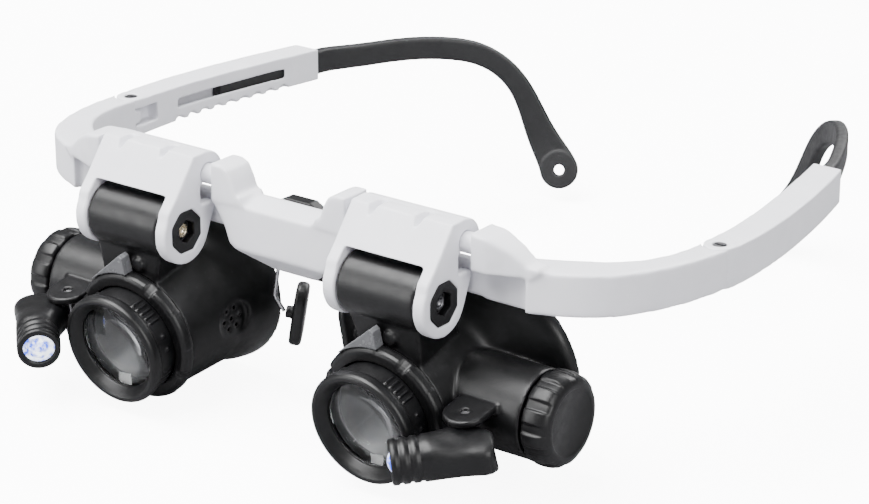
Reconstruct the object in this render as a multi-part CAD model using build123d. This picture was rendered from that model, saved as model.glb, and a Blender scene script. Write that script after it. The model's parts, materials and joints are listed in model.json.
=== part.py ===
"""Head visor magnifier: a spectacle-type frame that carries two tilting loupe eyepieces with LED lamps.

Frame of the model: millimetres, +Z up, -Y to the front (where the lenses point), +X to the wearer's left.
The origin is the middle of the nose bridge. Eyepiece parts are drawn in their own frame, with the tilt axis
at the origin, x away from the nose, y to the rear along the optical axis and z up.
"""

import os
from math import atan2, cos, degrees, pi, sin

from build123d import *

# ---- driving dimensions ----
POD_X = 32.0  # half the distance between the two eyepieces
PIVOT_Y = -8.0  # tilt axis of the eyepieces, level with the bridge
TILT = 8.9  # rest tilt of the eyepieces, front down, in degrees

BRIDGE_FRONT, BRIDGE_REAR = -3.7, 2.5
WEB_FRONT, WEB_REAR, WEB_TOP = 1.0, 3.4, 6.0
EAR_FRONT = -3.9
EAR_INNER_X, EAR_OUTER_X = 17.2, 46.8  # faces of the two ears that hold each shaft
SHAFT_Y, SHAFT_Z, SHAFT_R = -1.1, 10.5, 2.1
LOBE_R = 4.55  # barrel of each yoke round its shaft

YOKE_HALF, CHEEK = 12.17, 2.8
CHEEK_R, PLUG_FLATS, PLUG_DEEP = 6.8, 8.6, 2.3
SCREW_R, RUN = 1.1, 0.05  # RUN is the radial clearance of a running fit
CLIP_X, CLIP_WIDE = 0.6, 4.0

BARREL_R, BARREL_LONG = 6.4, 18.2
OPTIC_Z = -23.4  # optical axis below the tilt axis
SHELL_FRONT, CONE_END, RIM_Y = -5.0, 9.0, 18.0
COLLAR_R, CONE_R, WALL = 13.6, 14.9, 1.5
RIM_X, RIM_Z, RIM_A, RIM_B = 5.3, -21.9, 23.2, 21.3
TUBE_Y, TUBE_R, BORE_R, TUBE_END = 6.6, 9.1, 8.1, 28.3
CAP_R, CAP_START, CAP_END, FLUTES = 9.5, 28.8, 34.7, 12
LENS_FRONT, BEZEL_BACK, BEZEL_R, HOLDER_R = -14.9, -12.0, 11.9, 11.1
GLASS_R, GLASS_OPEN = 9.3, 8.3
RING_FRONT, RING_BACK, RING_R = -8.0, -5.3, 14.3

PIN_X, PIN_Y, LUG_TOP, LUG_THICK, LUG_R = 19.0, -5.8, -18.3, 1.5, 4.4
PIN_R = 0.9
LAMP_DROP, LAMP_REACH, LAMP_OFFSET, LAMP_R = 4.6, 15.4, 7.2, 4.5
LAMP_YAW = {1: 47.5, -1: 45.0}  # how far each lamp is turned inwards, by side

HINGE_X, HINGE_Y, HINGE_R = 76.2, 38.0, 3.2
TONGUE_R = 2.3  # eye of each hinge, inside the end of the temple
TEMPLE_END_X, TEMPLE_END_Y = 69.5, 92.0
TEMPLE_TOP, TEMPLE_BOTTOM = 5.3, -3.1
SLIDE_EXIT = (68.6, 92.0, 0.4)  # where the axis of the sliding arm leaves the temple
SLIDE_DIR = Vector(-0.180, 0.983, -0.0125).normalized()
ARM_THICK, ARM_HIGH = 2.8, 5.6
LANYARD_R = 1.3

PARTS = {}


def extrude_x(points, x_low, x_high):
    """A prism from an outline of (y, z) points, between two x planes."""
    face = make_face(Polyline(*[(x_low, y, z) for y, z in points], close=True))
    return extrude(face, amount=x_high - x_low, dir=(1, 0, 0))


def extrude_y(points, y_low, y_high):
    """A prism from an outline of (x, z) points, between two y planes."""
    face = make_face(Polyline(*[(x, y_low, z) for x, z in points], close=True))
    return extrude(face, amount=y_high - y_low, dir=(0, 1, 0))


def extrude_z(face, z_low, z_high):
    """A prism from a face drawn at z = 0, between two z planes."""
    return Pos(0, 0, z_low) * extrude(face, amount=z_high - z_low, dir=(0, 0, 1))


def box(x_low, x_high, y_low, y_high, z_low, z_high):
    middle = ((x_low + x_high) / 2, (y_low + y_high) / 2, (z_low + z_high) / 2)
    return Pos(*middle) * Box(x_high - x_low, y_high - y_low, z_high - z_low)


def rod(axis, low, high, radius, centre=(0, 0)):
    """A cylinder along x, y or z between two planes; centre gives its other two coordinates."""
    turn = {"x": Rot(0, 90, 0), "y": Rot(-90, 0, 0), "z": Rot(0, 0, 0)}[axis]
    mid = (low + high) / 2
    spot = {"x": (mid, *centre), "y": (centre[0], mid, centre[1]), "z": (*centre, mid)}[axis]
    return Pos(*spot) * turn * Cylinder(radius, high - low)


def tube(axis, low, high, outer, inner, centre=(0, 0)):
    return rod(axis, low, high, outer, centre) - rod(axis, low - 1, high + 1, inner, centre)


def oval(y, a, b, x=0.0, z=OPTIC_Z):
    """An upright ellipse in a plane across the optical axis."""
    return Plane(origin=(x, y, z), x_dir=(1, 0, 0), z_dir=(0, 1, 0)) * Ellipse(a, b)


def place(side, part):
    """Puts an eyepiece part, drawn in its own frame for the +X side, on one side of the frame."""
    part = part if side > 0 else mirror(part, Plane.YZ)
    return Pos(side * POD_X, PIVOT_Y, 0) * Rot(TILT, 0, 0) * part


def store(name, part):
    """Keeps a part under its name, as one compound of its solids."""
    PARTS[name] = Compound(children=[Solid(s.wrapped) for s in part.solids()])


def store_pair(name, part):
    store(f"{name}_left", part)
    store(f"{name}_right", mirror(part, Plane.YZ))


# ---- frame front ----
def brow_face():
    """Plan of one curved corner of the frame, from the outer ear round to the temple hinge."""
    outer = Spline((57.6, -0.7), (63.4, 2.2), (69.6, 6.6), (74.6, 14.5), (78.0, 25.5), (79.4, HINGE_Y))
    inner = Spline((73.0, HINGE_Y), (72.4, 27.0), (69.2, 18.6), (64.0, 13.2), (57.5, 9.0), (50.0, 4.6))
    end = Line(outer @ 1, inner @ 0)
    web_end = ((EAR_OUTER_X, WEB_REAR), (EAR_OUTER_X, WEB_FRONT), (57.0, WEB_FRONT), (57.2, -0.7))
    back = Polyline(inner @ 1, *web_end, outer @ 0)
    return make_face([outer, end, inner, back])


def front_frame():
    half = [(5.2, -7.8), (12.9, -2.2), (14.0, 1.0), (EAR_INNER_X, 6.1), (EAR_INNER_X, 6.6)]
    bridge = extrude_y(half + [(-x, z) for x, z in reversed(half)], BRIDGE_FRONT, BRIDGE_REAR)
    bridge -= extrude_x([(BRIDGE_FRONT - 1, -2.1), (BRIDGE_FRONT - 1, -9), (1.6, -9), (1.6, -7.8)], -20, 20)
    bridge += extrude_x([(BRIDGE_FRONT, 6.4), (1.0, 7.8), (BRIDGE_REAR, 7.6), (BRIDGE_REAR, 6.0)], -10.4, 10.4)
    web = box(-57.5, 57.5, WEB_FRONT, WEB_REAR, -1.0, WEB_TOP) - box(-8.3, 8.3, BRIDGE_REAR, 5, -9, 9)
    whole = bridge + web
    inner_ear = extrude_y([(8.6, 6.4), (EAR_INNER_X, 5.8), (EAR_INNER_X, 14.0), (12.4, 14.0)], EAR_FRONT, WEB_REAR)
    high_edge = [(60.5, 7.4), (56.8, 12.2), (54.0, 13.8), (EAR_OUTER_X, 14.0)]
    outer_ear = extrude_y([(EAR_OUTER_X, 5.8), (58.5, 5.8)] + high_edge, EAR_FRONT, WEB_REAR)
    slope = Polyline((49.6, -4.1), (49.6, -8), (66, -8), (66, 0.4), (57.4, -0.9), close=True)
    outer_ear -= extrude_z(make_face(slope), 0, 20)
    brow = extrude_z(brow_face(), -6, 12)
    edge_on = [(-6, -1.0), (-6, 7.9), (HINGE_Y + 4, 5.1), (HINGE_Y + 4, -3.2), (HINGE_Y - 8, -2.7)]
    brow &= extrude_x(edge_on, 40, 90)
    knuckle = rod("z", TEMPLE_BOTTOM - 3, TEMPLE_TOP + 4, HINGE_R + 0.35, (HINGE_X, HINGE_Y))
    tongue = rod("z", -0.6, 2.7, TONGUE_R, (HINGE_X, HINGE_Y))
    tongue += box(73.4, 77.6, HINGE_Y - 5, HINGE_Y, -0.6, 2.7)
    tongue -= rod("z", -1, 3, 1.0, (HINGE_X, HINGE_Y))
    corner = brow - knuckle - box(60, 90, HINGE_Y - 0.8, HINGE_Y + 9, -9, 12) + tongue
    for part in (inner_ear, outer_ear, corner):
        whole += part + mirror(part, Plane.YZ)
    for side in (1, -1):
        for low, high in ((EAR_INNER_X - 5.0, EAR_INNER_X), (EAR_OUTER_X, EAR_OUTER_X + 5.0)):
            ends = sorted((side * low, side * high))
            whole -= rod("x", *ends, SHAFT_R, (SHAFT_Y, SHAFT_Z))
    for x in (-4.0, 4.0):
        whole -= rod("y", 0.5, BRIDGE_REAR + 1, 0.8, (x, -1.0))
    return whole


store("front_frame", front_frame())
store_pair("flip_shaft", rod("x", EAR_INNER_X - 4.9, EAR_OUTER_X + 4.9, SHAFT_R, (SHAFT_Y, SHAFT_Z)))


# ---- nose rest ----
def nose_saddle():
    top = [(-8.0, 3.2), (-6.5, 6.0), (-3.0, 7.9), (3.0, 7.9), (6.5, 6.0), (8.0, 3.2)]
    block = extrude_y(top + [(7.4, -8.2), (-7.4, -8.2)], BRIDGE_REAR, 5.4)
    block -= extrude_y([(-3.6, -9), (-2.2, -3.4), (2.2, -3.4), (3.6, -9)], 2, 6)
    for x in (-4.0, 4.0):
        block -= rod("y", 2, 6, 0.95, (x, -1.0))
    for x in (-5.6, 5.6):
        block -= rod("y", 4.0, 6, 0.45, (x, -6.6))
    return block


def saddle_screws():
    screws = [rod("y", 0.6, 5.4, 0.75, (x, -1.0)) + rod("y", 5.4, 6.3, 1.6, (x, -1.0)) for x in (-4.0, 4.0)]
    return screws[0] + screws[1]


PAD = Vector(7.7, 12.0, -21.4)


def nose_pad():
    pad = Pos(0, 0, 0) * extrude(Plane.YZ * SlotCenterToCenter(7.0, 7.2).rotate(Axis.X, 0), amount=1.3, both=True)
    pad = Rot(90, 0, 0) * pad
    pad = fillet(pad.edges().filter_by(GeomType.CIRCLE), 0.8)
    stem = rod("x", 1.3, 2.8, 1.3)
    return Pos(*PAD) * Rot(0, -11, 0) * Rot(0, 0, -32) * (pad + stem)


def pad_wire():
    end = PAD + Vector(2.62, -1.66, 0.5)
    path = FilletPolyline((5.6, 4.1, -6.6), (5.6, 7.4, -6.6), (10.6, 9.2, -10.5), (12.0, 9.4, -17.5), tuple(end), radius=1.4)
    return sweep(Plane(origin=path @ 0, z_dir=path % 0) * Circle(0.4), path=path)


store("nose_saddle", nose_saddle())
store("saddle_screws", saddle_screws())
store_pair("nose_pad", nose_pad())
store_pair("pad_wire", pad_wire())


# ---- yokes: the same moulding on both sides, drawn about the tilt axis with x across the yoke ----
def yoke():
    dy, dz = SHAFT_Y - PIVOT_Y, SHAFT_Z
    hull = make_hull([Pos(0, 0) * Circle(CHEEK_R).edge(), Pos(dy, dz) * Circle(LOBE_R).edge()])
    cheek = extrude(Plane.YZ * hull, amount=YOKE_HALF, both=True)
    cheek += rod("x", -YOKE_HALF, YOKE_HALF, LOBE_R, (dy, dz))
    face = [(-6.8, 0), (-5.4, 5.2), (-3.1, 7.7), (2.7, 15.1), (dy, 15.3), (dy, 6.0), (0, 0)]
    front = extrude_x(face, -YOKE_HALF, YOKE_HALF)
    solid = cheek + front
    inside = YOKE_HALF - CHEEK
    void = [(-12, -12), (-12, 7.7), (-2.2, 7.7), (3.0, 13.3), (6.0, 15.6), (20, 12.2), (20, -12)]
    hollow = extrude_x(void, -inside, inside)
    hollow -= rod("x", -inside, inside, LOBE_R, (dy, dz)) & box(-20, 20, -9, 20, dz - 0.2, 30)
    solid -= hollow
    solid -= rod("x", -20, 20, SHAFT_R + RUN, (dy, dz))
    solid -= rod("x", -inside + 0.01, inside - 0.01, SHAFT_R + 0.5, (dy, dz))
    solid -= Pos(0, dy, dz) * Rot(-38, 0, 0) * box(-20, 20, 0, 9, -1.9, 1.9)
    solid -= box(-20, 20, 4.6, 20, 4.4, dz - 1.9) + box(-20, 20, 8.65, 20, -9, 6.3)
    solid -= rod("x", CLIP_X - CLIP_WIDE / 2 - 0.4, CLIP_X + CLIP_WIDE / 2 + 0.4, 3.7, (dy, dz))
    for x in (-6.4, 4.5):
        notch = extrude_y([(x - 1.7, 16.2), (x + 1.3, 16.2), (x - 0.4, 12.9)], -4, 6.4)
        solid -= notch
    octagon = RegularPolygon(PLUG_FLATS / 2, 8, major_radius=False, rotation=22.5)
    solid -= extrude(Plane.YZ * octagon, amount=20, both=True)
    return solid


def pivot_plug():
    """Octagonal plug in the outer half of a cheek, with a stepped recess for the screw head."""
    octagon = RegularPolygon(PLUG_FLATS / 2 - 0.02, 8, major_radius=False, rotation=22.5)
    start = YOKE_HALF - CHEEK + 0.02
    plug = Pos(start, 0, 0) * extrude(Plane.YZ * octagon, amount=PLUG_DEEP + 0.3)
    square = RegularPolygon(2.5, 6, rotation=30)
    plug -= Pos(start + 0.9, 0, 0) * extrude(Plane.YZ * square, amount=6)
    return plug - rod("x", 0, 20, SCREW_R)


def pivot_screw():
    start = YOKE_HALF - CHEEK + 0.92
    screw = rod("x", 4.6, start, SCREW_R - 0.01) + rod("x", start, start + 0.7, 1.5)
    slot = box(start + 0.3, start + 2, -1.1, 1.1, -0.25, 0.25)
    return screw - slot - slot.rotate(Axis.X, 90)


def slide_clip():
    ring = tube("x", CLIP_X - CLIP_WIDE / 2, CLIP_X + CLIP_WIDE / 2, 3.25, SHAFT_R + RUN, (SHAFT_Y - PIVOT_Y, SHAFT_Z))
    return ring - box(-9, 9, SHAFT_Y - PIVOT_Y - 0.9, SHAFT_Y - PIVOT_Y + 0.9, 0, SHAFT_Z)


for side, name in ((1, "left"), (-1, "right")):
    at_yoke = Pos(side * POD_X, PIVOT_Y, 0)
    store(f"yoke_{name}", at_yoke * yoke())
    store(f"slide_clip_{name}", at_yoke * slide_clip())
    for x_side, end in ((1, "outer"), (-1, "inner")):
        turned = (lambda p: p) if x_side * side > 0 else (lambda p: mirror(p, Plane.YZ))
        store(f"pivot_plug_{end}_{name}", at_yoke * turned(pivot_plug()))
        store(f"pivot_screw_{end}_{name}", at_yoke * turned(pivot_screw()))


# ---- eyepieces ----
def shell_body(side):
    cone = loft([oval(SHELL_FRONT, COLLAR_R, COLLAR_R), oval(CONE_END, CONE_R, CONE_R)])
    cup = loft(
        [
            oval(CONE_END, CONE_R, CONE_R),
            oval(13.2, 17.6, 17.0, 1.6, -23.0),
            oval(RIM_Y - 1.0, RIM_A - 0.5, RIM_B - 0.5, RIM_X, RIM_Z),
            oval(RIM_Y + 1.0, RIM_A, RIM_B, RIM_X, RIM_Z),
        ]
    )
    barrel = rod("x", -BARREL_LONG / 2, BARREL_LONG / 2, BARREL_R)
    neck = extrude_y([(-BARREL_LONG / 2, -1), (BARREL_LONG / 2, -1), (8.4, -14), (-5.0, -14)], -4.6, 7.5)
    holder = rod("x", 11.4, TUBE_END, TUBE_R, (TUBE_Y, OPTIC_Z))
    boss = rod("y", -5.6, 0, 1.5, (side * 1.9, -7.6))
    lug = rod("z", LUG_TOP - LUG_THICK, LUG_TOP, LUG_R, (PIN_X, PIN_Y))
    lug += box(PIN_X - LUG_R, PIN_X + LUG_R, PIN_Y, 2.0, LUG_TOP - LUG_THICK, LUG_TOP)
    return cone + cup + barrel + neck + holder + boss + lug


def shell_hollow():
    bore = rod("y", SHELL_FRONT - 1, 3.6, HOLDER_R + 0.35, (0, OPTIC_Z))
    cone = loft([oval(3.5, 12.0, 12.0), oval(CONE_END, 13.2, 13.2)])
    cup = loft(
        [
            oval(CONE_END - 0.1, 13.2, 13.2),
            oval(13.2, 16.0, 15.4, 1.6, -23.0),
            oval(RIM_Y + 2.0, RIM_A - WALL, RIM_B - WALL, RIM_X, RIM_Z),
        ]
    )
    return bore + cone + (cup - rod("x", 13.0, TUBE_END, TUBE_R, (TUBE_Y, OPTIC_Z)))


def vent_cuts():
    """Round recess on the nose side of the shell with a ring of small holes."""
    cuts = rod("x", -20, -14.1, 4.2, (7.2, OPTIC_Z))
    for k in range(6):
        turn = 2 * pi * k / 6
        cuts += rod("x", -20, -11, 0.5, (7.2 + 2.3 * cos(turn), OPTIC_Z + 2.3 * sin(turn)))
    return cuts + rod("x", -20, -11, 0.5, (7.2, OPTIC_Z))


def eyepiece_shell(side):
    shell = shell_body(side) - shell_hollow()
    shell -= rod("x", 14.6, TUBE_END + 1, BORE_R, (TUBE_Y, OPTIC_Z))
    shell -= rod("z", -30, LUG_TOP + 1, PIN_R, (PIN_X, PIN_Y))
    for low, high in ((4.4, 12), (-12, -4.4)):
        shell -= rod("x", low, high, SCREW_R + RUN)
    return shell - vent_cuts()


def ocular_ring():
    return tube("y", 5.4, 8.6, 12.2, 10.4, (0, OPTIC_Z)) + tube("y", 7.8, 8.6, 12.9, 9.6, (0, OPTIC_Z))


def lens(y_front, y_back, radius, bulge):
    """A biconvex glass: a disc with a spherical crown on each side."""
    middle, half = (y_front + y_back) / 2, (y_back - y_front) / 2
    edge = half - bulge
    sphere_r = (radius**2 + bulge**2) / (2 * bulge)
    body = rod("y", y_front, y_back, radius, (0, OPTIC_Z))
    for sign in (1, -1):
        centre = middle + sign * (edge + bulge - sphere_r)
        body &= Pos(0, centre, OPTIC_Z) * Sphere(sphere_r)
    return body


def lens_holder():
    holder = tube("y", BEZEL_BACK, 3.0, HOLDER_R, 9.5, (0, OPTIC_Z))
    holder += tube("y", -7.4, -6.6, HOLDER_R, 8.6, (0, OPTIC_Z))
    for k in range(36):
        turn = Rot(0, 10 * k, 0)
        if k % 9 not in (0, 1, 2):
            continue
        rib = Pos(0, 0, OPTIC_Z) * turn * box(-0.35, 0.35, -11.4, -8.6, HOLDER_R - 0.3, HOLDER_R + 0.3)
        holder += rib
    return holder


def bezel():
    ring = tube("y", LENS_FRONT, BEZEL_BACK, BEZEL_R, GLASS_OPEN, (0, OPTIC_Z))
    ring = chamfer(ring.edges().filter_by(GeomType.CIRCLE).sort_by(Axis.Y)[:2], 0.7)
    return ring - rod("y", -13.2, BEZEL_BACK + 1, GLASS_R + 0.05, (0, OPTIC_Z))


def lock_ring():
    ring = tube("y", RING_FRONT, RING_BACK, RING_R, HOLDER_R + 0.35, (0, OPTIC_Z))
    for angle in (28, 118, 208, 298):
        notch = box(-1.6, 1.6, RING_FRONT - 1, RING_FRONT + 1.1, 12.6, 16)
        ring -= Pos(0, 0, OPTIC_Z) * Rot(0, angle, 0) * notch
    return ring


def latch_tab():
    """Pointed tab on the lock ring; it leans the same way on both eyepieces."""
    tab = extrude_y([(-9.6, -13.4), (-9.0, -12.0), (-0.6, -4.9), (0.2, -5.4), (0.6, -9.4), (-3.0, -11.0)], -7.9, -5.4)
    return tab - rod("y", -9, -4, RING_R, (0, OPTIC_Z))


def battery_cap():
    cap = rod("x", CAP_START, CAP_END, CAP_R, (TUBE_Y, OPTIC_Z))
    cap = fillet(cap.edges().filter_by(GeomType.CIRCLE).sort_by(Axis.X)[-1:], 1.6)
    for k in range(FLUTES):
        turn = 2 * pi * (k + 0.5) / FLUTES
        spot = (TUBE_Y + (CAP_R + 1.05) * cos(turn), OPTIC_Z + (CAP_R + 1.05) * sin(turn))
        cap -= rod("x", CAP_START + 0.9, CAP_END + 1, 1.35, spot)
    plug = rod("x", CAP_START - 2.6, CAP_START, BORE_R - 0.35, (TUBE_Y, OPTIC_Z))
    return cap + plug


def cells():
    stack = [rod("x", low, low + 3.1, BORE_R - 0.5, (TUBE_Y, OPTIC_Z)) for low in (16.4, 19.6, 22.8)]
    return stack[0] + stack[1] + stack[2]


def contact_spring():
    """Shallow domed spring plate under the first cell."""
    return tube("x", 14.7, 15.1, 6.0, 2.2, (TUBE_Y, OPTIC_Z)) + tube("x", 15.1, 16.3, 3.4, 2.2, (TUBE_Y, OPTIC_Z))


def lamp_housing():
    """Lamp in its own frame: pivot pin at the origin, lamp axis towards -y, beside the pin."""
    low, roof = -LAMP_DROP - LAMP_R, -LUG_THICK - 0.25
    barrel = rod("y", -LAMP_REACH, -2.0, LAMP_R, (LAMP_OFFSET, -LAMP_DROP))
    for y in (-13.4, -11.2, -9.0):
        barrel -= tube("y", y - 0.3, y + 0.3, LAMP_R + 1, LAMP_R - 0.35, (LAMP_OFFSET, -LAMP_DROP))
    plan = Polyline((-1.8, -2.4), (3.2, -7.4), (11.4, -7.4), (11.0, -2.4), (11.4, 4.9), (3.0, 3.9), (0, 3.0), close=True)
    tail = extrude_z(make_face(plan), low + 0.3, roof)
    tail = chamfer(tail.edges().filter_by(Axis.Z).sort_by(Axis.X)[-1:], 0.8)
    shoulder = extrude_z(make_face(Polyline((5.2, -7.0), (10.4, -7.0), (10.2, 4.2), (5.2, 4.0), close=True)), low + 0.3, roof + 1.2)
    body = barrel + tail + shoulder + rod("z", low + 0.3, roof, 3.0)
    body -= rod("z", roof, 9, LUG_R + 0.4)
    body -= rod("y", -LAMP_REACH - 1, -7.0, 3.3, (LAMP_OFFSET, -LAMP_DROP))
    return body - rod("z", low - 1, 3, PIN_R + RUN)


def lamp_led():
    led = rod("y", -LAMP_REACH + 1.0, -7.2, 3.25, (LAMP_OFFSET, -LAMP_DROP))
    dome = Pos(LAMP_OFFSET, -LAMP_REACH + 2.4, -LAMP_DROP) * Sphere(3.0)
    return led + (dome & box(-9, 19, -LAMP_REACH - 0.6, -LAMP_REACH + 2.4, -20, 9))


def at_pin(side, part):
    """Turns a lamp part to its rest angle on the pin of an eyepiece."""
    return Pos(PIN_X, PIN_Y, LUG_TOP) * Rot(0, 0, -LAMP_YAW[side]) * part


def lamp_pin():
    pin = rod("z", LUG_TOP - 9.1, LUG_TOP - 0.6, PIN_R - 0.01, (PIN_X, PIN_Y))
    return pin + rod("z", LUG_TOP - 9.9, LUG_TOP - 9.1, 1.7, (PIN_X, PIN_Y))


for side, name in ((1, "left"), (-1, "right")):
    for node, part in (
        ("eyepiece_shell", eyepiece_shell(side)),
        ("ocular_ring", ocular_ring()),
        ("ocular_lens", lens(5.5, 7.7, 10.3, 0.7)),
        ("lens_holder", lens_holder()),
        ("bezel", bezel()),
        ("front_lens", lens(-13.1, -9.6, GLASS_R, 1.1)),
        ("lock_ring", lock_ring()),
        ("battery_cap", battery_cap()),
        ("cells", cells()),
        ("contact_spring", contact_spring()),
        ("lamp_housing", at_pin(side, lamp_housing())),
        ("lamp_led", at_pin(side, lamp_led())),
        ("lamp_pin", lamp_pin()),
    ):
        store(f"{node}_{name}", place(side, part))
    tab = latch_tab()
    store(f"latch_tab_{name}", Pos(side * POD_X, PIVOT_Y, 0) * Rot(TILT, 0, 0) * tab)


# ---- temples and sliding ear arms ----
def temple_face():
    outer = Spline((79.5, HINGE_Y), (79.6, 50.0), (78.0, 66.0), (75.6, 80.0), (TEMPLE_END_X + 3.4, TEMPLE_END_Y))
    inner = Spline((TEMPLE_END_X - 3.3, TEMPLE_END_Y), (68.6, 80.0), (71.0, 66.0), (72.8, 50.0), (72.9, HINGE_Y))
    end = Line(outer @ 1, inner @ 0)
    nose = Line(inner @ 1, outer @ 0)
    return make_face([outer, end, inner, nose])


def slide_plane(y):
    """Cross-section plane of the sliding arm, on its straight axis, at a given y."""
    exit_point = Vector(*SLIDE_EXIT)
    origin = exit_point + SLIDE_DIR * ((y - TEMPLE_END_Y) / SLIDE_DIR.Y)
    return Plane(origin=origin, x_dir=Vector(SLIDE_DIR.Y, -SLIDE_DIR.X, 0), z_dir=SLIDE_DIR)


def channel(y_low, y_high, thick, high):
    ends = [slide_plane(y) * RectangleRounded(thick, high, 0.6) for y in (y_low, y_high)]
    return loft(ends)


def temple():
    bar = extrude_z(temple_face(), TEMPLE_BOTTOM - 1, TEMPLE_TOP + 1)
    bar &= extrude_x([(30, TEMPLE_BOTTOM), (30, TEMPLE_TOP), (96, 4.15), (96, -3.25)], 50, 90)
    bar += rod("z", TEMPLE_BOTTOM, TEMPLE_TOP, HINGE_R, (HINGE_X, HINGE_Y))
    bar -= channel(44.0, TEMPLE_END_Y + 4, ARM_THICK + 0.5, ARM_HIGH + 0.5)
    slot = [slide_plane(y) * Rectangle(20, 2.0) for y in (50.5, 82.5)]
    outer_half = [slide_plane(y) * Pos(10, 0) * Rectangle(20, 4.0) for y in (45.0, 90.0)]
    bar -= loft(slot) - loft(outer_half)
    bar -= rod("z", -0.9, 3.0, TONGUE_R + 0.3, (HINGE_X, HINGE_Y))
    bar -= box(70, 78.1, HINGE_Y - 9, HINGE_Y, -0.9, 3.0)
    bar -= box(70, HINGE_X, HINGE_Y - 3, HINGE_Y + 5.2, -0.9, 3.0)
    bar -= rod("z", -9, 9, 1.0 + RUN, (HINGE_X, HINGE_Y)) + rod("z", TEMPLE_TOP - 0.8, 9, 1.5, (HINGE_X, HINGE_Y))
    for k in range(9):
        y = 50.5 + 3.9 * k
        bar -= rod("x", 66, slide_plane(y).origin.X - 1.2, 1.5, (y, TEMPLE_BOTTOM - 0.6))
    return bar


def hinge_screw():
    screw = rod("z", TEMPLE_BOTTOM + 0.3, TEMPLE_TOP - 0.8, 1.0 - 0.01, (HINGE_X, HINGE_Y))
    screw += rod("z", TEMPLE_TOP - 0.8, TEMPLE_TOP - 0.2, 1.4, (HINGE_X, HINGE_Y))
    return screw - box(HINGE_X - 1.9, HINGE_X + 1.9, HINGE_Y - 0.25, HINGE_Y + 0.25, TEMPLE_TOP - 0.5, 9)


# stations of the ear arm behind the temple: centre, heading of the flat's normal (degrees from +X), width
ARM_STATIONS = [
    ((65.4, 103.2, -0.1), 18, 5.4),
    ((60.7, 114.0, -0.5), 24, 5.3),
    ((55.1, 124.0, -1.4), 30, 5.3),
    ((49.4, 131.2, -3.3), 37, 5.3),
    ((44.4, 135.6, -7.0), 43, 5.1),
    ((40.6, 138.4, -12.6), 47, 5.3),
    ((37.8, 139.8, -19.2), 50, 6.2),
    ((34.6, 140.6, -25.8), 50, 7.6),
    ((30.8, 140.6, -31.6), 50, 9.3),
]


def arm_plane(before, here, after, heading):
    tangent = (Vector(*after) - Vector(*before)).normalized()
    flat = Vector(cos(heading * pi / 180), sin(heading * pi / 180), 0)
    flat = (flat - tangent * flat.dot(tangent)).normalized()
    return Plane(origin=here, x_dir=flat, z_dir=tangent)


def ear_arm():
    straight = [slide_plane(TEMPLE_END_Y + 2.0), slide_plane(TEMPLE_END_Y + 4.6)]
    sections = [plane * RectangleRounded(ARM_THICK, ARM_HIGH, 0.6) for plane in straight]
    centres = [tuple(plane.origin) for plane in straight] + [s[0] for s in ARM_STATIONS]
    ahead = Vector(*centres[-1]) * 2 - Vector(*centres[-2])
    centres.append(tuple(ahead))
    for k, (centre, heading, wide) in enumerate(ARM_STATIONS):
        plane = arm_plane(centres[k + 1], centre, centres[k + 3], heading)
        sections.append(plane * RectangleRounded(ARM_THICK, wide, 0.6))
    arm = loft(sections) + channel(64.0, TEMPLE_END_Y + 2.0, ARM_THICK, ARM_HIGH)
    tip = arm_tip()
    round_end = extrude(tip * Circle(4.6), amount=ARM_THICK / 2, both=True)
    arm += round_end
    arm -= extrude(tip * Circle(LANYARD_R), amount=9, both=True)
    return arm


def arm_tip():
    """Plane of the flat of the arm's tip, centred on the lanyard hole, facing forwards."""
    before, here = Vector(*ARM_STATIONS[-2][0]), Vector(*ARM_STATIONS[-1][0])
    along = (here - before).normalized()
    section = arm_plane(tuple(before), tuple(here), tuple(here + along), ARM_STATIONS[-1][1])
    return Plane(origin=here + along * 0.6, x_dir=along, z_dir=section.x_dir * -1)


store_pair("temple", temple())
store_pair("hinge_screw", hinge_screw())
store_pair("ear_arm", ear_arm())

os.makedirs("parts", exist_ok=True)
for node, shape in PARTS.items():
    export_step(shape, f"parts/{node}.step")
print(len(PARTS), "nodes")
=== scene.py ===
import json
from math import cos, degrees, pi, radians, sin

import bmesh
import bpy
from mathutils import Matrix, Vector


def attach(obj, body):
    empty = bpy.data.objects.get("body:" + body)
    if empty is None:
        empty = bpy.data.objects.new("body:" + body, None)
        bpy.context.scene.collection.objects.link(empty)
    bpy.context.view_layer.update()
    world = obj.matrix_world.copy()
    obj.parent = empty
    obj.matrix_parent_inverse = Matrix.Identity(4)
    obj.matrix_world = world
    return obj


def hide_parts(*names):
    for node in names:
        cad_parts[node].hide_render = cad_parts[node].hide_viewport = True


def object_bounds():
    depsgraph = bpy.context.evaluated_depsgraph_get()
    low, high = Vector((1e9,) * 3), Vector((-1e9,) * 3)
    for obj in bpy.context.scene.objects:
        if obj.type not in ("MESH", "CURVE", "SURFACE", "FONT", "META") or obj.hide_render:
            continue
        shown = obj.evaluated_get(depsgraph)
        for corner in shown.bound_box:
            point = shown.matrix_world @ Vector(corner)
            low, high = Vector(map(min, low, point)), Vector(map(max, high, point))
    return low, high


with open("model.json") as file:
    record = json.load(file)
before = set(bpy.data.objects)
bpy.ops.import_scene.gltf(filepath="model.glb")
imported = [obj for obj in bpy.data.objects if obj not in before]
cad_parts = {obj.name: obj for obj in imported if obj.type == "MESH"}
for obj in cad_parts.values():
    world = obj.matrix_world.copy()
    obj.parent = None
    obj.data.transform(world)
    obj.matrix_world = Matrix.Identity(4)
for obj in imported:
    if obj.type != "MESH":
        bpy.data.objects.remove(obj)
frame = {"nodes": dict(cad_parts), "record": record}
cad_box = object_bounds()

MM = 0.001
SIDES = (("left", 1), ("right", -1))

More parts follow.
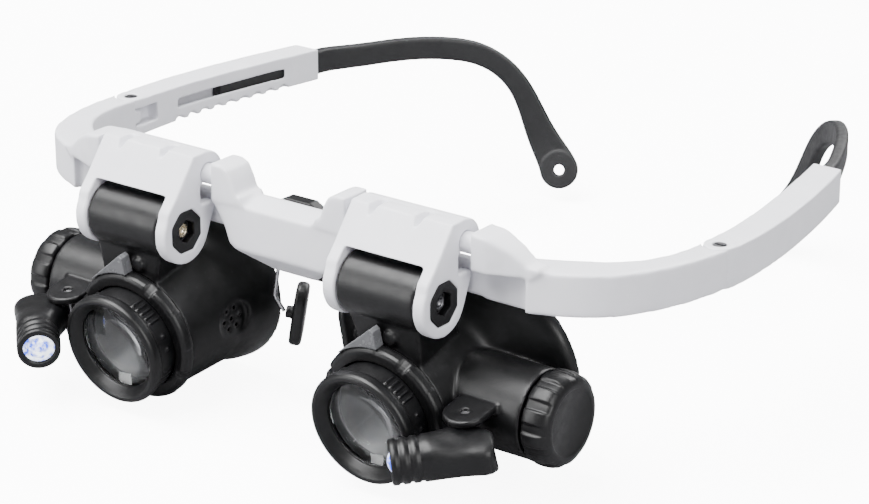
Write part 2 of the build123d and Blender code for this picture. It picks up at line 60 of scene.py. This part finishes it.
# ---- the eyepieces' own frame: millimetres, tilt axis at the origin, y along the optical axis ----
POD_X, PIVOT_Y = 32.0, -8.0  # tilt axis of each eyepiece in the row frame
TILT = radians(8.9)
OPTIC_Z = -23.4
TUBE_Y = 6.6  # axis of the battery tube
VENT_Y = 7.2  # middle of the vent in the shell's side
LAMP_PIN = (19.0, -5.8, -18.3)
LAMP_YAW = {1: 47.5, -1: 45.0}  # how far each lamp is turned inwards, by side, in degrees
LAMP_OFFSET, LAMP_DROP = 7.2, 4.6  # lamp axis beside and below its pin
LAMP_FRONT, LED_SEAT, LED_BORE = -15.4, -7.0, 3.3

collection = bpy.context.scene.collection

# ---- camera and light ----
camera = bpy.data.objects.new("camera", bpy.data.cameras.new("camera"))
collection.objects.link(camera)
camera.data.sensor_width = 36.0
camera.data.lens = 121.5
camera.data.clip_start, camera.data.clip_end = 0.05, 20.0
camera.location = (0.34609, -0.41909, 0.21065)


def aim(obj, target):
    """Turns an object's -Z towards a point, with its Y upright."""
    obj.rotation_mode = "QUATERNION"
    obj.rotation_quaternion = (Vector(target) - obj.location).to_track_quat("-Z", "Y")


aim(camera, (0.01659, 0.02593, -0.00654))
bpy.context.scene.camera = camera


def area_light(name, location, target, size, power):
    data = bpy.data.lights.new(name, "AREA")
    data.shape = "RECTANGLE"
    data.size, data.size_y = size
    data.energy = power
    light = bpy.data.objects.new(name, data)
    collection.objects.link(light)
    light.location = location
    aim(light, target)


area_light("key", (-0.30, -0.35, 1.10), (0, 0.02, 0), (1.3, 0.9), 62.0)
area_light("side", (1.15, -0.30, 0.55), (0, 0.0, -0.01), (0.5, 0.9), 13.0)
area_light("front", (-0.75, -0.95, 0.35), (0, 0.0, -0.01), (0.5, 0.7), 11.0)
area_light("back", (0.1, 1.1, 0.75), (0, 0.03, 0), (1.2, 0.5), 18.0)


def world_light(strength):
    world = bpy.data.worlds.new("studio")
    bpy.context.scene.world = world
    world.use_nodes = True
    nodes, links = world.node_tree.nodes, world.node_tree.links
    background = nodes["Background"]
    coords = nodes.new("ShaderNodeTexCoord")
    gradient = nodes.new("ShaderNodeSeparateXYZ")
    ramp = nodes.new("ShaderNodeValToRGB")
    links.new(coords.outputs["Generated"], gradient.inputs[0])
    links.new(gradient.outputs["Z"], ramp.inputs[0])
    links.new(ramp.outputs[0], background.inputs["Color"])
    ramp.color_ramp.elements[0].color = (1, 1, 1, 1)
    ramp.color_ramp.elements[1].color = (0.55, 0.56, 0.58, 1)
    background.inputs["Strength"].default_value = strength


world_light(0.30)


# ---- materials ----
def material(name):
    made = bpy.data.materials.new(name)
    made.use_nodes = True
    nodes = made.node_tree.nodes
    return made, nodes, made.node_tree.links, nodes["Principled BSDF"]


def noise(nodes, links, coords, scale, detail=3.0, rough=0.5):
    made = nodes.new("ShaderNodeTexNoise")
    made.inputs["Scale"].default_value = scale
    made.inputs["Detail"].default_value = detail
    made.inputs["Roughness"].default_value = rough
    links.new(coords.outputs["Object"], made.inputs["Vector"])
    return made.outputs["Fac"]


def spread(nodes, links, value, low, high, from_low=0.0, from_high=1.0):
    """A value stretched from one range to another."""
    made = nodes.new("ShaderNodeMapRange")
    made.inputs["From Min"].default_value = from_low
    made.inputs["From Max"].default_value = from_high
    made.inputs["To Min"].default_value = low
    made.inputs["To Max"].default_value = high
    links.new(value, made.inputs["Value"])
    return made.outputs["Result"]


def mixed(nodes, links, factor, first, second):
    made = nodes.new("ShaderNodeMix")
    made.data_type = "RGBA"
    links.new(factor, made.inputs["Factor"])
    for socket, value in (("A", first), ("B", second)):
        target = [s for s in made.inputs if s.name == socket and s.type == "RGBA"][0]
        if isinstance(value, tuple):
            target.default_value = (*value, 1)
        else:
            links.new(value, target)
    return [s for s in made.outputs if s.type == "RGBA"][0]


def plastic(name, dark, light, rough, grain=(5200, 0.00003, 0.35), edge_highlight=None, coat=0.0, specular=0.5):
    """Moulded plastic: faint mottling, uneven gloss, a fine grain and, where asked, paler edges painted on as
    a highlight where the surface is most convex.
    rough is the range of roughness, and grain is (scale, depth in metres, strength)."""
    made, nodes, links, shader = material(name)
    coords = nodes.new("ShaderNodeTexCoord")
    mottle = spread(nodes, links, noise(nodes, links, coords, 140, 4, 0.6), 0, 1, 0.3, 0.7)
    colour = mixed(nodes, links, mottle, dark, light)
    # painted highlight: where pointiness marks a convex edge, the colour is mixed towards a paler edge colour,
    # standing in for light caught by the rounded edges
    if edge_highlight:
        geometry = nodes.new("ShaderNodeNewGeometry")
        edge = spread(nodes, links, geometry.outputs["Pointiness"], 0, 1, 0.56, 0.72)
        colour = mixed(nodes, links, edge, colour, edge_highlight)
    links.new(colour, shader.inputs["Base Color"])
    gloss = spread(nodes, links, noise(nodes, links, coords, 420, 5, 0.62), rough[0], rough[1], 0.3, 0.7)
    links.new(gloss, shader.inputs["Roughness"])
    bump = nodes.new("ShaderNodeBump")
    bump.inputs["Strength"].default_value = grain[2]
    bump.inputs["Distance"].default_value = grain[1]
    links.new(noise(nodes, links, coords, grain[0], 2, 0.5), bump.inputs["Height"])
    links.new(bump.outputs["Normal"], shader.inputs["Normal"])
    shader.inputs["Specular IOR Level"].default_value = specular
    shader.inputs["Coat Weight"].default_value = coat
    shader.inputs["Coat Roughness"].default_value = 0.22
    return made


def metal(name, dark, light, rough, scale=900):
    """Machined metal with fine turning marks and uneven tarnish."""
    made, nodes, links, shader = material(name)
    coords = nodes.new("ShaderNodeTexCoord")
    tarnish = spread(nodes, links, noise(nodes, links, coords, scale, 4, 0.6), 0, 1, 0.3, 0.7)
    links.new(mixed(nodes, links, tarnish, dark, light), shader.inputs["Base Color"])
    gloss = spread(nodes, links, noise(nodes, links, coords, scale * 3, 3), *rough, 0.3, 0.7)
    links.new(gloss, shader.inputs["Roughness"])
    bump = nodes.new("ShaderNodeBump")
    bump.inputs["Strength"].default_value = 0.25
    bump.inputs["Distance"].default_value = 0.00002
    links.new(noise(nodes, links, coords, scale * 7, 2), bump.inputs["Height"])
    links.new(bump.outputs["Normal"], shader.inputs["Normal"])
    shader.inputs["Metallic"].default_value = 1.0
    return made


def lens_glass():
    """Coated optical glass with faint dust in its roughness."""
    made, nodes, links, shader = material("optical_glass")
    coords = nodes.new("ShaderNodeTexCoord")
    dust = spread(nodes, links, noise(nodes, links, coords, 900, 5, 0.7), 0.01, 0.06, 0.45, 0.8)
    links.new(dust, shader.inputs["Roughness"])
    tint = spread(nodes, links, noise(nodes, links, coords, 60, 2), 0, 1, 0.3, 0.7)
    links.new(mixed(nodes, links, tint, (0.93, 0.95, 0.96), (0.97, 0.98, 0.98)), shader.inputs["Base Color"])
    shader.inputs["Transmission Weight"].default_value = 1.0
    shader.inputs["IOR"].default_value = 1.5
    return made


def led_resin():
    """Lit lamp resin: bluish white, brighter in the middle of its mottling."""
    made, nodes, links, shader = material("led_resin")
    coords = nodes.new("ShaderNodeTexCoord")
    cells = spread(nodes, links, noise(nodes, links, coords, 760, 3, 0.5), 0, 1, 0.36, 0.58)
    glow = mixed(nodes, links, cells, (0.03, 0.08, 0.62), (0.90, 0.95, 1.0))
    links.new(glow, shader.inputs["Base Color"])
    links.new(glow, shader.inputs["Emission Color"])
    shader.inputs["Emission Strength"].default_value = 2.6
    shader.inputs["Roughness"].default_value = 0.08
    shader.inputs["Coat Weight"].default_value = 0.5
    return made


FINISH = {
    "white_plastic": plastic(
        "white_moulding",
        (0.755, 0.755, 0.80),
        (0.80, 0.80, 0.84),
        (0.34, 0.46),
        grain=(5200, 0.00002, 0.25),
        # paler colour painted on convex edges as a highlight
        edge_highlight=(0.84, 0.84, 0.87),
    ),
    "black_plastic": plastic(
        "black_moulding",
        (0.0018, 0.0018, 0.0022),
        (0.0040, 0.0040, 0.0045),
        (0.33, 0.47),
        grain=(6200, 0.00003, 0.4),
        # paler colour painted on convex edges as a highlight
        edge_highlight=(0.010, 0.010, 0.011),
        coat=0.04,
        specular=0.34,
    ),
    "soft_black": plastic(
        "soft_nylon",
        (0.005, 0.005, 0.006),
        (0.009, 0.0092, 0.0102),
        (0.44, 0.60),
        grain=(3600, 0.00005, 0.5),
        # paler colour painted on convex edges as a highlight
        edge_highlight=(0.03, 0.03, 0.033),
    ),
    "grey_plastic": plastic("grey_moulding", (0.085, 0.087, 0.092), (0.14, 0.142, 0.15), (0.20, 0.32)),
    "clear_glass": lens_glass(),
    "brass_screw": metal("brass", (0.50, 0.42, 0.28), (0.78, 0.70, 0.52), (0.18, 0.34)),
    "bright_steel": metal("steel", (0.50, 0.50, 0.51), (0.68, 0.68, 0.69), (0.22, 0.4)),
    "led_clear": led_resin(),
    "soft_pad": plastic(
        "pad_rubber",
        (0.002, 0.002, 0.0025),
        (0.004, 0.004, 0.0045),
        (0.34, 0.5),
        grain=(4200, 0.00005, 0.5),
    ),
}
DARK_STEEL = metal("dark_steel", (0.10, 0.10, 0.105), (0.24, 0.24, 0.25), (0.25, 0.45))

SLOT_OF = {part["node"]: part["material_slot"] for part in frame["record"]["subparts"]}
for name, node in frame["nodes"].items():
    node.data.materials.clear()
    node.data.materials.append(DARK_STEEL if name.startswith("hinge_screw") else FINISH[SLOT_OF[name]])




# ---- moulded rounding on the CAD parts ----
def soften(node, voxel, passes):
    """Blends every edge of a moulded part: an even mesh of that size, in mm, then some smoothing passes."""
    remesh = node.modifiers.new("even", "REMESH")
    remesh.mode = "VOXEL"
    remesh.voxel_size = voxel * MM
    remesh.use_smooth_shade = True
    smooth = node.modifiers.new("round", "SMOOTH")
    smooth.factor = 0.5
    smooth.iterations = passes


def prism(name, outline, low, high, axis):
    """A closed prism in millimetres: an (x, z) outline along y, or an (x, y) outline along z."""
    count = len(outline)
    points = [(a, end, b) if axis == "y" else (a, b, end) for end in (low, high) for a, b in outline]
    faces = [tuple(range(count)), tuple(range(count, 2 * count))]
    faces += [(k, (k + 1) % count, count + (k + 1) % count, count + k) for k in range(count)]
    data = bpy.data.meshes.new(name)
    data.from_pydata([Vector(point) * MM for point in points], [], faces)
    mesh = bmesh.new()
    mesh.from_mesh(data)
    bmesh.ops.recalc_face_normals(mesh, faces=mesh.faces)
    mesh.to_mesh(data)
    mesh.free()
    made = bpy.data.objects.new(name, data)
    collection.objects.link(made)
    made.hide_render = made.hide_viewport = True
    return made


def reshape(node, tool, operation):
    change = node.modifiers.new(tool.name, "BOOLEAN")
    change.operation = operation
    change.solver = "EXACT"
    change.object = tool


# The ears that hold each shaft fall away in a slope on the side away from the yoke. Outlines are (x, z), and
# (x, y) for the two that close the ears over the ends of the shaft.
INNER_EAR = [(14.6, 14.1), (12.7, 13.2), (11.6, 11.3), (10.5, 8.3), (8.0, 8.3), (8.0, 16.0), (14.6, 16.0)]
OUTER_EAR = [(46.0, 13.7), (50.6, 13.2), (54.5, 11.1), (57.8, 8.5), (62.0, 7.9), (62.0, 17.0), (46.0, 17.0)]
EAR_SKIN = [(47.2, -3.6), (50.4, -3.85), (53.2, -2.8), (53.2, 1.2), (47.2, 1.2)]
EAR_CORE = [(12.0, -3.3), (16.8, -3.3), (16.8, 1.2), (12.0, 1.2)]
for side, name in ((1, "left"), (-1, "right")):
    ears = (
        (EAR_CORE, 8.2, 12.8, "z", "UNION"),
        (EAR_SKIN, 8.2, 12.8, "z", "UNION"),
        (INNER_EAR, -6, 6, "y", "DIFFERENCE"),
        (OUTER_EAR, -6, 6, "y", "DIFFERENCE"),
    )
    for number, (outline, low, high, axis, operation) in enumerate(ears):
        mirrored = [(side * a, b) for a, b in outline]
        tool = prism(f"ear_tool_{number}_{name}", mirrored, low, high, axis)
        reshape(frame["nodes"]["front_frame"], tool, operation)

SOFTENED = {"front_frame": (0.34, 16), "nose_saddle": (0.25, 5)}
for name, _ in SIDES:
    SOFTENED |= {
        f"yoke_{name}": (0.26, 11),
        f"temple_{name}": (0.22, 10),
        f"ear_arm_{name}": (0.26, 6),
        f"eyepiece_shell_{name}": (0.30, 9),
        f"nose_pad_{name}": (0.22, 8),
        f"latch_tab_{name}": (0.12, 4),
        f"pivot_plug_inner_{name}": (0.12, 2),
        f"pivot_plug_outer_{name}": (0.12, 2),
        f"flip_shaft_{name}": (0.2, 2),
    }
for name, (voxel, passes) in SOFTENED.items():
    soften(frame["nodes"][name], voxel, passes)


# ---- pieces made here ----
def yoke_matrix(side):
    """From a yoke's own frame, upright about the tilt axis, to the row frame."""
    return Matrix.Diagonal((MM, MM, MM, 1.0)) @ Matrix.Translation((side * POD_X, PIVOT_Y, 0.0))


def pod_matrix(side):
    """From an eyepiece's own frame to the row frame."""
    return yoke_matrix(side) @ Matrix.Rotation(TILT, 4, "X")


def piece(name, body, nodes, finish, shape, matrix):
    """A mesh piece in place of some CAD nodes, riding their body. shape is its points and faces."""
    points, faces = shape
    data = bpy.data.meshes.new(name)
    data.from_pydata([matrix @ Vector(point) for point in points], [], faces)
    mesh = bmesh.new()
    mesh.from_mesh(data)
    bmesh.ops.remove_doubles(mesh, verts=mesh.verts, dist=1e-7)
    bmesh.ops.recalc_face_normals(mesh, faces=mesh.faces)
    mesh.to_mesh(data)
    mesh.free()
    data.shade_smooth()
    data.materials.append(FINISH[finish])
    made = bpy.data.objects.new(name, data)
    collection.objects.link(made)
    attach(made, body)
    if nodes:
        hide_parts(*nodes)
    return made


def rounded(profile, radius, steps=3):
    """A closed outline of (y, r) points with its corners rounded."""
    result = []
    for k, here in enumerate(profile):
        before, after = Vector(profile[k - 1]), Vector(profile[(k + 1) % len(profile)])
        here = Vector(here)
        reach = min(radius, (before - here).length * 0.45, (after - here).length * 0.45)
        start = here + (before - here).normalized() * reach
        end = here + (after - here).normalized() * reach
        for step in range(steps + 1):
            t = step / steps
            result.append(start * (1 - t) ** 2 + here * (2 * t * (1 - t)) + end * t * t)
    return result


def lathe(profile, segments, shape=None):
    """Points and faces of an outline turned about the optical axis; shape(angle, y, r) may change a radius."""
    points, faces = [], []
    count = len(profile)
    for k in range(segments):
        turn = 2 * pi * k / segments
        for y, r in profile:
            reach = shape(turn, y, r) if shape else r
            points.append((reach * sin(turn), y, OPTIC_Z + reach * cos(turn)))
        following = (k + 1) % segments
        for j in range(count):
            ahead = (j + 1) % count
            faces.append((k * count + j, k * count + ahead, following * count + ahead, following * count + j))
    return points, faces


def bell(distance, width):
    """1 at the middle, falling smoothly to 0 at the given half width."""
    return 0.0 if abs(distance) >= width else 0.5 + 0.5 * cos(pi * distance / width)


def gap(turn, centre):
    """Signed angle from one direction to another, in degrees."""
    return (degrees(turn) - centre + 180) % 360 - 180


BEZEL = [
    (-12.0, 9.9), (-12.2, 9.45), (-12.75, 8.95), (-13.1, 9.05), (-14.25, 10.0), (-14.9, 10.65),
    (-15.0, 11.1), (-14.7, 11.75), (-14.1, 12.0), (-12.9, 12.0), (-12.25, 11.8), (-12.0, 11.4),
]
RIBS = [start + 6.5 * k for start in (26, 116, 206, 296) for k in range(5)]
DOTS = [start + 15 * k for start in (70, 250) for k in range(2)]


def band(turn, y, r):
    """The focusing band: short ribs in groups of five, and pairs of small bumps between the groups."""
    if r < 10.8:
        return r
    rib = max(bell(gap(turn, angle), 2.1) for angle in RIBS) * bell(max(abs(y + 10.0) - 1.2, 0), 0.5)
    dot = max(bell(gap(turn, angle), 3.4) for angle in DOTS) * bell(y + 9.6, 0.8)
    return r + 0.38 * rib + 0.3 * dot


def holder_profile():
    outside = [(-12.0 + 0.2 * k, 11.12 if k else 10.9) for k in range(25)]
    outside += [(-7.0 + 2.0 * k, 11.1) for k in range(6)]
    inside = [(3.0, 9.5), (-6.6, 9.5), (-6.6, 8.6), (-7.4, 8.6), (-7.4, 9.5), (-12.0, 9.5)]
    return outside + inside


LOCK = [
    (-8.05, 11.5), (-8.05, 13.2), (-7.75, 13.85), (-7.2, 14.15),
    (-6.2, 14.3), (-5.6, 14.25), (-5.3, 13.9), (-5.3, 11.5),
]


def lock_shape(turn, y, r):
    """Raised segments round the lock ring, with a shallow thumb notch between them."""
    if r < 12:
        return r
    notch = max(bell(max(abs(gap(turn, angle)) - 3.5, 0), 1.6) for angle in (28, 118, 208, 298))
    step = max(bell(max(abs(gap(turn, angle)) - 16, 0), 2.0) for angle in (73, 163, 253, 343))
    return r - 0.85 * notch * bell(y + 8.0, 2.6) + 0.18 * step


# the lamp body as rings along its axis: (y, half width, half height, sideways, up, squareness)
LAMP_RINGS = [
    (-15.4, 3.5, 3.5, 0, 0, 2.0), (-15.45, 4.1, 4.1, 0, 0, 2.0), (-15.2, 4.45, 4.45, 0, 0, 2.0),
    (-14.2, 4.5, 4.5, 0, 0, 2.0), (-13.9, 4.18, 4.18, 0, 0, 2.0), (-13.5, 4.18, 4.18, 0, 0, 2.0),
    (-13.2, 4.5, 4.5, 0, 0, 2.0), (-12.2, 4.5, 4.5, 0, 0, 2.0), (-11.9, 4.18, 4.18, 0, 0, 2.0),
    (-11.5, 4.18, 4.18, 0, 0, 2.0), (-11.2, 4.5, 4.5, 0, 0, 2.0), (-10.2, 4.5, 4.5, 0, 0, 2.0),
    (-9.9, 4.2, 4.2, 0, 0, 2.1), (-9.5, 4.2, 4.2, 0, 0, 2.1), (-9.1, 4.45, 4.4, 0, 0, 2.2),
    (-7.4, 4.5, 4.3, -0.1, 0, 2.4), (-5.6, 4.75, 4.05, -0.4, -0.1, 2.7), (-3.8, 5.2, 3.8, -0.9, -0.3, 3.0),
    (-2.0, 5.5, 3.55, -1.2, -0.5, 3.2), (0.0, 5.5, 3.4, -1.1, -0.65, 3.4), (2.0, 5.2, 3.4, -0.6, -0.7, 3.4),
    (3.2, 4.8, 3.3, -0.2, -0.7, 3.0), (3.9, 4.3, 3.0, 0.0, -0.7, 2.8),
]
TAIL_RINGS, TAIL_SWEEP = 4, 1.5  # the last rings, and how far their top and bottom corners reach back


def lamp_body():
    """Points and faces of the lamp, in the lamp's own frame, with its pivot pin at the origin."""
    points, faces, around = [], [], 72
    for number, (y, wide, high, sideways, up, square) in enumerate(LAMP_RINGS):
        tail = max(number - len(LAMP_RINGS) + 1 + TAIL_RINGS, 0) / TAIL_RINGS
        for k in range(around):
            turn = 2 * pi * k / around
            c, n = cos(turn), sin(turn)
            size = (abs(c) ** square + abs(n) ** square) ** (-1 / square)
            sweep = TAIL_SWEEP * tail * (abs(n * size) ** 3 - 0.45) * (1.0 if n < 0 else 0.6)
            across, height = LAMP_OFFSET + sideways + wide * c * size, -LAMP_DROP + up + high * n * size
            points.append((across, y + sweep, height))
    for j in range(len(LAMP_RINGS) - 1):
        for k in range(around):
            ahead = (k + 1) % around
            here, there = j * around, (j + 1) * around
            faces.append((here + k, here + ahead, there + ahead, there + k))
    last = (len(LAMP_RINGS) - 1) * around
    faces.append([last + k for k in range(around)])
    inner = len(points)
    for y in (LAMP_FRONT, LED_SEAT):
        for k in range(around):
            turn = 2 * pi * k / around
            points.append((LAMP_OFFSET + LED_BORE * cos(turn), y, -LAMP_DROP + LED_BORE * sin(turn)))
    for k in range(around):
        ahead = (k + 1) % around
        faces.append((k, ahead, inner + ahead, inner + k))
        faces.append((inner + k, inner + ahead, inner + around + ahead, inner + around + k))
    faces.append([inner + around + k for k in range(around)])
    return points, faces


# outlines of (x, r) for pieces turned about an axis across the eyepiece
SOCKET_SCREW = [
    (9.0, 0.0), (9.0, 1.1), (10.3, 1.1), (10.3, 1.5), (10.85, 1.5),
    (11.0, 1.35), (11.0, 0.95), (10.85, 0.8), (10.4, 0.72), (10.4, 0.0),
]
VENT_BACKING = [(-12.9, 0.0), (-12.9, 3.9), (-12.5, 3.9), (-12.5, 0.0)]
CAP = [
    (26.2, 0.0), (26.2, 7.6), (28.8, 7.6), (28.85, 8.7), (29.05, 9.2), (29.4, 9.4),
    (30.4, 9.5), (31.6, 9.5), (32.6, 9.4), (33.4, 9.15), (34.0, 8.75), (34.4, 8.2),
    (34.65, 7.5), (34.7, 7.0), (34.6, 6.7), (34.45, 6.5), (34.45, 0.0),
]
CAP_FLUTES = [30 * k + 15 for k in range(12)]


def cap_shape(turn, x, r):
    """Twelve shallow finger flutes along the battery cap."""
    if r < 8.0:
        return r
    flute = max(bell(max(abs(gap(turn, angle)) - 4.5, 0), 3.5) for angle in CAP_FLUTES)
    return r - 0.5 * flute * bell(max(abs(x - 31.4) - 1.6, 0), 1.6)


def turned_x(profile, segments, flip, shape=None):
    """Points and faces of an open outline of (x, r) points turned about an axis along x."""
    points, faces = [], []
    count = len(profile)
    for k in range(segments):
        turn = 2 * pi * k / segments
        for x, r in profile:
            reach = shape(turn, x, r) if shape else r
            points.append((flip * x, reach * cos(turn), reach * sin(turn)))
        following = (k + 1) % segments
        for j in range(count - 1):
            faces.append((k * count + j, k * count + j + 1, following * count + j + 1, following * count + j))
    return points, faces


for name, side in SIDES:
    pod = pod_matrix(side)
    black = "black_plastic"
    barrel, shell = f"lens_barrel_{name}", f"eyepiece_{name}"
    piece(f"bezel_ring_{name}", barrel, [f"bezel_{name}"], black, lathe(rounded(BEZEL, 0.22), 144), pod)
    holder = lathe(holder_profile(), 720, band)
    piece(f"focus_band_{name}", barrel, [f"lens_holder_{name}"], black, holder, pod)
    lock = lathe(rounded(LOCK, 0.15), 360, lock_shape)
    piece(f"lock_band_{name}", shell, [f"lock_ring_{name}"], black, lock, pod)
    for end, way in (("inner", -1), ("outer", 1)):
        turned = turned_x(SOCKET_SCREW, 48, way * side)
        hidden = [f"pivot_screw_{end}_{name}"]
        screw = piece(
            f"socket_screw_{end}_{name}", f"yoke_{name}", hidden, "brass_screw", turned, yoke_matrix(side)
        )
        if end == "outer":
            screw.data.materials[0] = DARK_STEEL
    cap = turned_x(CAP, 360, side, cap_shape)
    tube = pod @ Matrix.Translation((0, TUBE_Y, OPTIC_Z))
    piece(f"fluted_cap_{name}", f"battery_cover_{name}", [f"battery_cap_{name}"], black, cap, tube)
    vent = pod @ Matrix.Translation((0, VENT_Y, OPTIC_Z))
    piece(f"vent_backing_{name}", shell, [], black, turned_x(VENT_BACKING, 40, side), vent)
    mirror = Matrix.Diagonal((side, 1.0, 1.0, 1.0))
    pin = Matrix.Translation(LAMP_PIN) @ Matrix.Rotation(radians(-LAMP_YAW[side]), 4, "Z")
    placed = pod @ mirror @ pin
    piece(f"lamp_body_{name}", f"lamp_{name}", [f"lamp_housing_{name}"], black, lamp_body(), placed)


# ---- floor ----
def floor(z):
    """A plain pale floor: near white to the camera, dim grey in reflections, so black parts stay dark."""
    data = bpy.data.meshes.new("floor")
    data.from_pydata([(-9, -9, z), (9, -9, z), (9, 9, z), (-9, 9, z)], [], [(0, 1, 2, 3)])
    plane = bpy.data.objects.new("floor", data)
    collection.objects.link(plane)
    made, nodes, links, shader = material("pale_floor")
    coords = nodes.new("ShaderNodeTexCoord")
    tone = spread(nodes, links, noise(nodes, links, coords, 9, 3), 0, 1, 0.3, 0.7)
    pale = mixed(nodes, links, tone, (0.93, 0.93, 0.935), (0.95, 0.95, 0.955))
    links.new(pale, shader.inputs["Base Color"])
    links.new(pale, shader.inputs["Emission Color"])
    shader.inputs["Emission Strength"].default_value = 9.0
    shader.inputs["Roughness"].default_value = 0.8
    seen = nodes.new("ShaderNodeLightPath")
    dim = nodes.new("ShaderNodeBsdfDiffuse")
    dim.inputs["Color"].default_value = (0.24, 0.24, 0.25, 1)
    blend = nodes.new("ShaderNodeMixShader")
    links.new(seen.outputs["Is Camera Ray"], blend.inputs[0])
    links.new(dim.outputs[0], blend.inputs[1])
    links.new(shader.outputs[0], blend.inputs[2])
    links.new(blend.outputs[0], nodes["Material Output"].inputs["Surface"])
    data.materials.append(made)


floor(cad_box[0].z)
